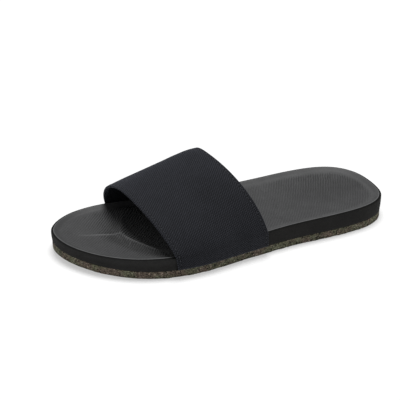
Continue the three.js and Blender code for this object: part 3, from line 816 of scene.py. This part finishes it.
def strap_arch(place):
    """Outer face between the rims: two quarter superellipses that meet at the crown, leaning
    forward, with points spaced evenly over the foot."""
    swing = np.linspace(0, np.pi, 361)[None, :]
    lateral_half = swing < np.pi / 2
    shoulder = np.where(lateral_half, strap_value("lateral_shoulder", place),
                        strap_value("medial_shoulder", place))
    sideways = np.abs(np.cos(swing)) ** (2 / shoulder) * np.where(lateral_half, -1, 1)
    crown = strap_value("crown", place)
    share = np.where(sideways < 0, crown * (1 + sideways), crown + (1 - crown) * sideways)
    hem = np.maximum((place - HEM_START) / (1 - HEM_START), 0)
    lift = STRAP_RISE * strap_value("rise", place) - HEM_DROP * hem**2
    lift = lift * np.maximum(np.sin(swing), 0) ** (2 / shoulder)
    face = GLUE_LINE + STRAP_THICKNESS
    feet = [beside_wall(side, place, face, 0 * place) for side in ("lateral", "medial")]
    arch = feet[0] + (feet[1] - feet[0]) * share[..., None]
    arch[..., 1] += strap_value("arch_lean", place) * lift
    arch[..., 2] += lift
    steps = np.linalg.norm(np.diff(arch, axis=1), axis=-1)
    run = np.concatenate([np.zeros((len(arch), 1)), np.cumsum(steps, axis=1)], axis=1)
    even = np.linspace(0, 1, ARCH_STEPS)
    rows = [[np.interp(even * far[-1], far, row[:, k]) for k in range(3)]
            for far, row in zip(run, arch)]
    return np.moveaxis(np.array(rows), 1, 2)


def relaxed(points):
    """Points with each one drawn to the weighted mean of its neighbours over the foot, within a few
    millimetres, which rounds the crown. The ends stay."""
    number = np.arange(points.shape[1])
    weight = np.exp(-((number[:, None] - number[None, :]) / RELAXED_STEPS) ** 2)
    mean = np.einsum("ij,rjk->rik", weight / weight.sum(axis=1, keepdims=True), points)
    free = ease(0, FREE_STEPS, np.minimum(number, number[::-1]))[None, :, None]
    return points + (mean - points) * free


def band_face(place):
    """Outer face of the band for an array of places from the front edge to the rear edge."""
    place = np.asarray(place, float)[:, None]
    legs = [strap_leg("lateral", place), strap_leg("medial", place)[:, ::-1]]
    return np.concatenate([legs[0], relaxed(strap_arch(place)), legs[1]], axis=1)


def band_girth(face):
    """Way over the foot to each point, from one tucked end to the other, as a share and in metres."""
    steps = np.linalg.norm(np.diff(face, axis=1), axis=-1)
    run = np.concatenate([np.zeros((len(face), 1)), np.cumsum(steps, axis=1)], axis=1)
    return run / run[:, -1:], run


def band_out(place):
    """Outward direction of the band: the cross product of its rearward way and its way over."""
    place = np.asarray(place, float)
    step = 0.01
    rearwards = band_face(np.minimum(place + step, 1)) - band_face(np.maximum(place - step, 0))
    over = np.gradient(band_face(place), axis=1)
    out = np.cross(rearwards, over)
    return out / np.linalg.norm(out, axis=-1, keepdims=True)


def band_relief(place, girth):
    """Height of the hems, their stitched dips and the creases over the plain band."""
    place = np.broadcast_to(place, girth.shape)
    edge = np.minimum(place, 1 - place) * STRAP_WIDTH
    relief = HEM_BULGE * ease(HEM_WIDTH + 2 * MM, HEM_WIDTH - 1 * MM, edge)
    relief = relief - SEAM_DIP * np.exp(-(((edge - HEM_WIDTH) / SEAM_SPREAD) ** 2))
    relief = relief - LIP_DIP * np.exp(-(((edge - LIP_WIDTH) / LIP_SPREAD) ** 2))
    for crease in CREASES:
        way = np.array([(crease.end_place - crease.place) * STRAP_WIDTH,
                        (crease.end_girth - crease.girth) * BAND_LENGTH])
        here = np.stack([(place - crease.place) * STRAP_WIDTH,
                         (girth - crease.girth) * BAND_LENGTH], axis=-1)
        along = np.clip(here @ way / (way @ way), 0, 1)
        off = np.linalg.norm(here - along[..., None] * way, axis=-1)
        relief = relief + crease.height * np.exp(-((off / crease.spread) ** 2))
    return relief


def band_solid(place, depth, outside):
    """Loop of points round the band's cross-section, at places across it and depths into it, carried
    over the foot, with both ends closed. Only outer points follow the relief."""
    face, out = band_face(place), band_out(place)
    girth, run = band_girth(face)
    sunk = band_relief(np.asarray(place)[:, None], girth) * np.asarray(outside)[:, None]
    solid = face + out * (sunk - np.asarray(depth)[:, None])[..., None]
    middle = face - out * (COVER_THICKNESS / 2)
    grid = np.concatenate([middle[:, :1], solid, middle[:, -1:]], axis=1)
    run = np.concatenate([run[:, :1], run, run[:, -1:]], axis=1)
    across = np.broadcast_to(np.asarray(place)[:, None] * STRAP_WIDTH, run.shape)
    uv = np.stack([across, run], axis=-1)
    return np.swapaxes(grid, 0, 1), np.swapaxes(uv, 0, 1)


def cover_section():
    """Places and depths round the cover: over its outer face, round the rear fold, back along the
    inner face and round the front fold."""
    half = COVER_THICKNESS / 2
    fold = FOLD_ROUND / STRAP_WIDTH
    near = HEM_ROWS / STRAP_WIDTH
    flat = np.linspace(0, 1, BAND_STEPS)[HEM_STEPS:-HEM_STEPS]
    flat = np.concatenate([[fold], near, flat, 1 - near[::-1], [1 - fold]])
    bend = np.linspace(0, np.pi, FOLD_STEPS + 2)[1:-1]
    rear = 1 - fold + fold * np.sin(bend) ** (1 / 2)
    place = np.concatenate([flat, rear, flat[::-1], 1 - rear[::-1]])
    round_edge = half * (1 - np.cos(bend))
    depth = np.concatenate([0 * flat, round_edge, 2 * half + 0 * flat, round_edge[::-1]])
    outside = 1 - depth / COVER_THICKNESS
    return place, depth, outside


BAND_LENGTH = band_girth(band_face([0.5]))[1][0, -1]


def canvas_finish(name, weft_colour, warp_colour, yarn, rough, nap):
    """Plain weave on the cloth's own map: warp and weft yarns that rise and dip in turn, each with
    its own colour and flecks of fibre along it, and the soft sheen of their nap. The colours are
    rubbed together in patches. Each yarn gets painted shade towards its edges, and the cloth gets painted
    shade along the stitched dip of each hem, where its field of seam shade is high."""
    material, shader, node = new_finish(name, Roughness=rough, Specular_IOR_Level=0.15,
                                        Sheen_Weight=nap, Sheen_Roughness=0.45, Sheen_Tint=NAP_TINT)
    place = node("UVMap", "UV", {"uv_map": "cloth"})
    split = node("SeparateXYZ", "X", Vector=place).node

    def math(operation, *values):
        """The operation on its values."""
        return node("Math", "Value", {"operation": operation},
                    **{f"_{k}": value for k, value in enumerate(values)})

    across = math("SINE", math("MULTIPLY", split.outputs["X"], np.pi / yarn))
    along = math("SINE", math("MULTIPLY", split.outputs["Y"], np.pi / yarn))
    checks = math("MULTIPLY", across, along)
    up = node("MapRange", "Result", {"interpolation_type": "SMOOTHSTEP"}, _0=checks, _1=-0.35, _2=0.35)
    yarn_round = node("Mix", 0, {"data_type": "FLOAT"}, _0=up, _2=math("ABSOLUTE", across),
                      _3=math("ABSOLUTE", along))
    height = math("MULTIPLY_ADD", checks, 0.5, yarn_round)
    stretch = node("Mapping", "Vector", Vector=place, Scale=(1.0, 0.16, 1.0))
    fibre = node("TexNoise", 0, Vector=stretch, Scale=0.9 / yarn, Detail=4.0, Roughness=0.7)
    patch = node("TexNoise", 0, Vector=place, Scale=45.0, Detail=2.0)
    fleck = node("MapRange", "Result", _0=math("ADD", fibre, math("MULTIPLY", patch, 0.5)),
                 _1=0.5, _2=1.0, _3=0.72, _4=1.28)
    rub = node("TexNoise", 0, Vector=place, Scale=1 / RUB_PATCH, Detail=1.0)
    crisp = node("MapRange", "Result", _0=rub, _1=0.34, _2=0.52, _3=RUBBED_CONTRAST,
                 _4=CRISP_CONTRAST)
    share = math("MULTIPLY_ADD", math("SUBTRACT", up, 0.5), crisp, 0.5)
    hue = node("Mix", 2, {"data_type": "RGBA"}, _0=share, _6=(*weft_colour, 1), _7=(*warp_colour, 1))
    # Painted shade: each yarn is darker towards its edges and in the gaps between yarns.
    shade = math("MULTIPLY", fleck, math("MULTIPLY_ADD", yarn_round, 0.55, 0.62))
    # Painted shade along the stitched dip of each hem.
    seam = node("Attribute", "Fac", {"attribute_name": "seam"})
    shade = math("MULTIPLY", shade, node("MapRange", "Result", _0=seam, _3=1.0, _4=SEAM_SHADE_TONE))
    feed(shader.inputs["Base Color"], node("VectorMath", "Vector", {"operation": "SCALE"}, _0=hue,
                                           Scale=shade))
    rise = math("MULTIPLY_ADD", fibre, 0.5, height)
    feed(shader.inputs["Normal"], node("Bump", "Normal", Height=rise, Distance=WEAVE_DEPTH,
                                       Strength=1.0))
    return material


cover_place, cover_depth, cover_outside = cover_section()
cover_points, cover_map = band_solid(cover_place, cover_depth, cover_outside)
# Painted shade along the stitched dip, on the outer face only.
from_hem = (np.minimum(cover_place, 1 - cover_place) * STRAP_WIDTH - HEM_WIDTH) / SEAM_SPREAD
cover_seam_shade = np.exp(-(from_hem**2)) * cover_outside + 0 * cover_points[..., 0]
new_piece("strap_cover", new_mesh("strap_cover", cover_points, cover_map, seam=cover_seam_shade),
          canvas_finish("navy canvas", WEFT_NAVY, WARP_NAVY, YARN, 0.85, 0.14), "woven_navy", "strap")

# Strap lining
# A smooth black knit, 77 mm wide, cemented inside the band between its two turned-in hems. It ends
# halfway down each side of the midsole.
LINING_THICKNESS = 0.35 * MM
LINING_SUNK = 0.05 * MM
LINING_EDGE = 1.3 * HEM_WIDTH
LINING_STEPS = 40
LINING_BLACK = (0.0045, 0.0045, 0.0052)


def lining_section():
    """Places and depths round the thin lining, which tapers to nothing at both hems."""
    edge = LINING_EDGE / STRAP_WIDTH
    across = np.linspace(edge, 1 - edge, LINING_STEPS)
    puff = LINING_THICKNESS * ease(0, 2 * MM, np.minimum(
        across - across[0], across[-1] - across) * STRAP_WIDTH)
    place = np.concatenate([across, across[::-1][1:-1]])
    depth = np.concatenate([COVER_THICKNESS - LINING_SUNK + 0 * across,
                            (COVER_THICKNESS + puff)[::-1][1:-1]])
    return place, depth, 0 * place


lining_points, lining_map = band_solid(*lining_section())
from_leg = 1 + TUCK_STEPS + CORNER_STEPS + CLIMB_STEPS // 2
lining_points, lining_map = lining_points[from_leg:-from_leg], lining_map[from_leg:-from_leg]
closing = [lining_points[k].mean(axis=0) + 0 * lining_points[k] for k in (0, -1)]
lining_points = np.concatenate([closing[:1], lining_points, closing[1:]])
lining_map = np.concatenate([lining_map[:1], lining_map, lining_map[-1:]])
new_piece("strap_lining", new_mesh("strap_lining", lining_points, lining_map),
          canvas_finish("black lining", LINING_BLACK, LINING_BLACK, 0.5 * YARN, 0.9, 0.03),
          "woven_navy")

# Topstitching
# A row of navy thread along each hem, which holds down the folded edge. Each stitch lies in the dip
# that the tight thread pulls in, and both of its ends go into the cloth.
STITCH_LENGTH = 2.7 * MM
STITCH_PITCH = 3.4 * MM
THREAD_RADIUS = 0.26 * MM
STITCH_BOW = 0.12 * MM
STITCH_DIVE = 0.35 * MM
STITCH_RINGS = 7
STITCH_SIDES = 8
STITCHES_FROM_END = TUCK_DEPTH + 6 * MM
THREAD_TWIST = 700.0
TWIST_DEPTH = 0.05 * MM
THREAD_NAVY = (0.030, 0.032, 0.039)


def stitch_row(place):
    """Grid of every stitch of a row: short tubes with pointed ends that dive into the cloth."""
    face, out = band_face([place])[0], band_out([place])[0]
    run = band_girth(face[None])[1][0]
    count = int((run[-1] - 2 * STITCHES_FROM_END) / STITCH_PITCH)
    middles = STITCHES_FROM_END + (np.arange(count) + 0.5) * STITCH_PITCH
    share = np.linspace(-1, 1, STITCH_RINGS)
    at = middles[:, None] + share * STITCH_LENGTH / 2
    centre = np.stack([np.interp(at, run, face[:, k]) for k in range(3)], axis=-1)
    normal = np.stack([np.interp(at, run, out[:, k]) for k in range(3)], axis=-1)
    ahead = np.gradient(centre, axis=1)
    ahead = ahead / np.linalg.norm(ahead, axis=-1, keepdims=True)
    beside = np.cross(normal, ahead)
    bow = HEM_BULGE - SEAM_DIP + STITCH_BOW * (1 - share**2)
    centre = centre + normal * (bow - STITCH_DIVE * share**8)[None, :, None]
    radius = THREAD_RADIUS * np.sqrt(np.maximum(1 - share**6, 0))
    angle = np.linspace(0, 2 * np.pi, STITCH_SIDES, endpoint=False)
    round_way = (normal[..., None, :] * np.cos(angle)[:, None]
                 + beside[..., None, :] * np.sin(angle)[:, None])
    return centre[..., None, :] + round_way * radius[None, :, None, None]


def stitch_mesh():
    """All stitches of both rows joined, each a closed tube of quads."""
    hem = HEM_WIDTH / STRAP_WIDTH
    tubes = np.concatenate([stitch_row(hem), stitch_row(1 - hem)])
    count, rings, around = tubes.shape[:3]
    number = np.arange(tubes.size // 3).reshape(count, rings, around)
    number = np.concatenate([number, number[..., :1]], axis=2)
    corners = [number[:, :-1, :-1], number[:, :-1, 1:], number[:, 1:, 1:], number[:, 1:, :-1]]
    mesh = bpy.data.meshes.new("strap_stitches")
    mesh.from_pydata(tubes.reshape(-1, 3).tolist(), [], np.stack(corners, -1).reshape(-1, 4).tolist())
    return welded(mesh, WELD / 10)


def thread_finish():
    """Spun thread: fine twisted bands and a little gloss."""
    material, shader, node = new_finish("navy thread", Roughness=0.6, Specular_IOR_Level=0.35)
    place = node("TexCoord", "Object")
    twist = node("TexWave", "Fac", {"bands_direction": "DIAGONAL"}, Vector=place, Scale=THREAD_TWIST)
    tone = node("MapRange", "Result", _0=twist, _3=0.7, _4=1.15)
    colour = node("VectorMath", "Vector", {"operation": "SCALE"}, _0=THREAD_NAVY, Scale=tone)
    feed(shader.inputs["Base Color"], colour)
    feed(shader.inputs["Normal"], node("Bump", "Normal", Height=twist, Distance=TWIST_DEPTH))
    return material


new_piece("strap_stitches", stitch_mesh(), thread_finish(), "woven_navy")

# Floor, light and camera
# A plain white floor that glows a little, under a dim white sky with one soft lamp overhead. The
# camera looks down at the lateral side, with the toe to the left.
FLOOR_HALF = 6.0
PAPER_GREY = (0.4, 0.4, 0.4, 1)
PAPER_GLOW = 0.46
SKY_STRENGTH = 0.37
KEY_STRENGTH = 3.6
KEY_SOFTNESS = np.radians(26)
KEY_FROM = Vector((0.14, -0.08, 1.0))
CAMERA_AIM = Vector((0.0260, 0.0110, 0.0218))
CAMERA_BACK = Vector((-0.8286, 0.3434, 0.4421))
CAMERA_DISTANCE = 1.330
CAMERA_ROLL = np.radians(0.4)
CAMERA_LENS = 143.46

floor_mesh = bpy.data.meshes.new("floor")
floor_mesh.from_pydata([(x * FLOOR_HALF, y * FLOOR_HALF, 0) for x, y in
                        ((-1, -1), (1, -1), (1, 1), (-1, 1))], [], [(0, 1, 2, 3)])
floor = bpy.data.objects.new("floor", floor_mesh)
bpy.context.scene.collection.objects.link(floor)
paper = new_finish("white paper", Base_Color=PAPER_GREY, Roughness=1.0, Specular_IOR_Level=0.0,
                   Emission_Color=(1, 1, 1, 1), Emission_Strength=PAPER_GLOW)[0]
floor_mesh.materials.append(paper)

world = bpy.data.worlds.new("studio")
world.use_nodes = True
sky = world.node_tree.nodes["Background"]
sky.inputs["Color"].default_value = (1, 1, 1, 1)
sky.inputs["Strength"].default_value = SKY_STRENGTH
bpy.context.scene.world = world

key_light = bpy.data.lights.new("key", "SUN")
key_light.energy = KEY_STRENGTH
key_light.angle = KEY_SOFTNESS
key = bpy.data.objects.new("key", key_light)
key.rotation_mode = "QUATERNION"
key.rotation_quaternion = KEY_FROM.to_track_quat("Z", "Y")
bpy.context.scene.collection.objects.link(key)

camera_data = bpy.data.cameras.new("camera")
camera_data.sensor_width = 36
camera_data.lens = CAMERA_LENS
camera = bpy.data.objects.new("camera", camera_data)
camera.location = CAMERA_AIM + CAMERA_BACK * CAMERA_DISTANCE
camera.rotation_mode = "QUATERNION"
camera.rotation_quaternion = CAMERA_BACK.to_track_quat("Z", "Y") @ Quaternion((0, 0, 1), CAMERA_ROLL)
bpy.context.scene.collection.objects.link(camera)
bpy.context.scene.camera = camera
bpy.context.scene.view_settings.view_transform = "Standard"
